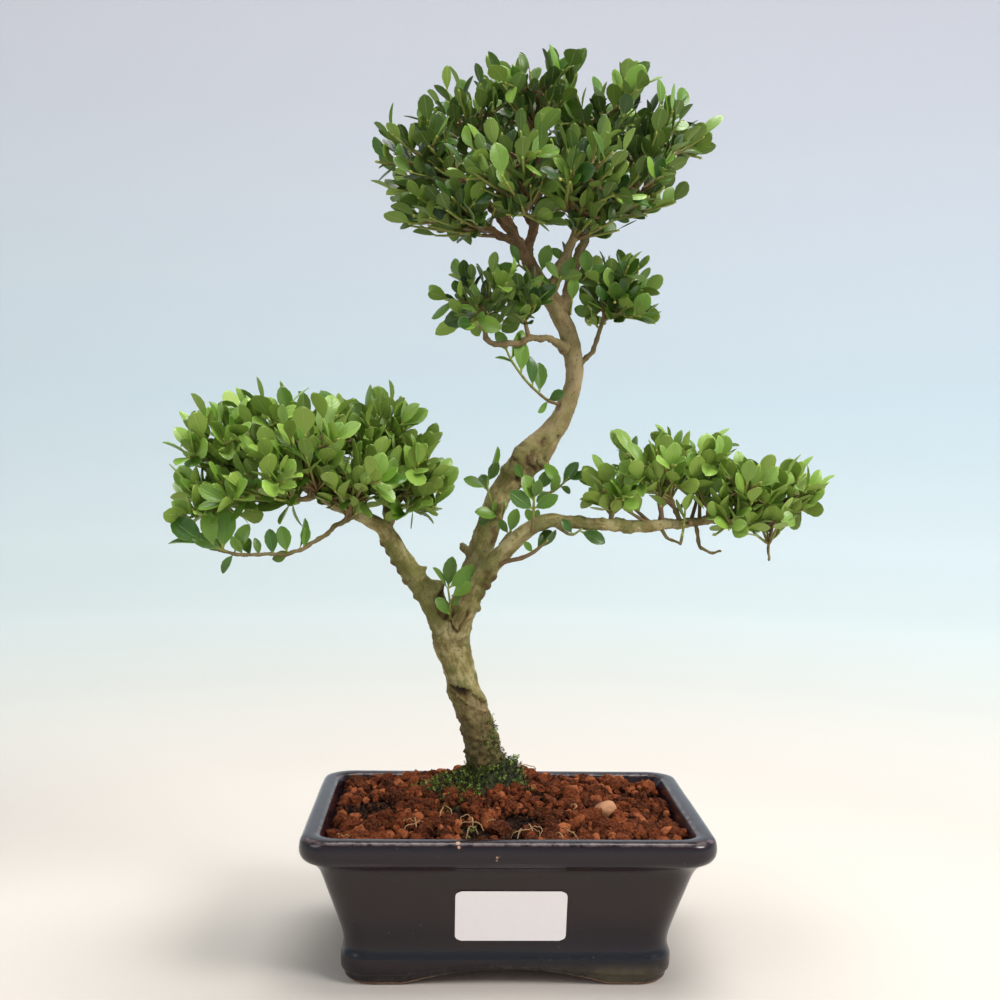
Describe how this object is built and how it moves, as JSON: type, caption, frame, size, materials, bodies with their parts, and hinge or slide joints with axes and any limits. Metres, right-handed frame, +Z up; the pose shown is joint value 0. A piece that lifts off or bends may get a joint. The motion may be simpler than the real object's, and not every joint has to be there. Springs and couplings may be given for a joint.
{
  "type": "japanese holly bonsai",
  "caption": "Small-leaved evergreen bonsai: a leaning forked trunk with a domed crown, a left pad and a long right branch of glossy leaves, in a rectangular glazed pot.",
  "frame": {"origin": "middle of the whole part's bounding box seen from above, on the surface that the pot stands on; the pot's centre is at x 0.0043, y -0.0008", "axes": "+Z up, +X along the pot's long side to the right as seen from its front, +Y from the labelled front wall to the back"},
  "size_m": [0.3306, 0.1428, 0.4686],
  "materials": {
    "pot_glaze": "near-black blue-brown gloss glaze",
    "label_paper": "white satin paper",
    "screen_plastic": "black net",
    "soil_clay": "damp red-brown clay granules and peat",
    "moss": "dark green moss",
    "pebble_stone": "tan river pebble",
    "bark": "grey-brown bark with algae and lenticels",
    "leaf": "glossy dark green, paler veins and undersides"
  },
  "bodies": {
    "root": {"pot": "pot_glaze", "blank_label": "label_paper", "drain_screen_left": "screen_plastic", "drain_screen_right": "screen_plastic", "soil": "soil_clay", "moss": "moss", "pebble": "pebble_stone", "trunk_and_branches": "bark", "crown_leaves": "leaf", "left_pad_leaves": "leaf", "right_pad_inner_leaves": "leaf", "right_pad_outer_leaves": "leaf", "middle_left_leaves": "leaf", "middle_right_leaves": "leaf", "crotch_leaves": "leaf", "trunk_left_leaves": "leaf", "trunk_right_leaves": "leaf", "trunk_front_leaves": "leaf", "small_shoot_leaves": "leaf", "under_limb_leaves": "leaf", "drooping_spray_leaves": "leaf"}
  },
  "joints": []
}
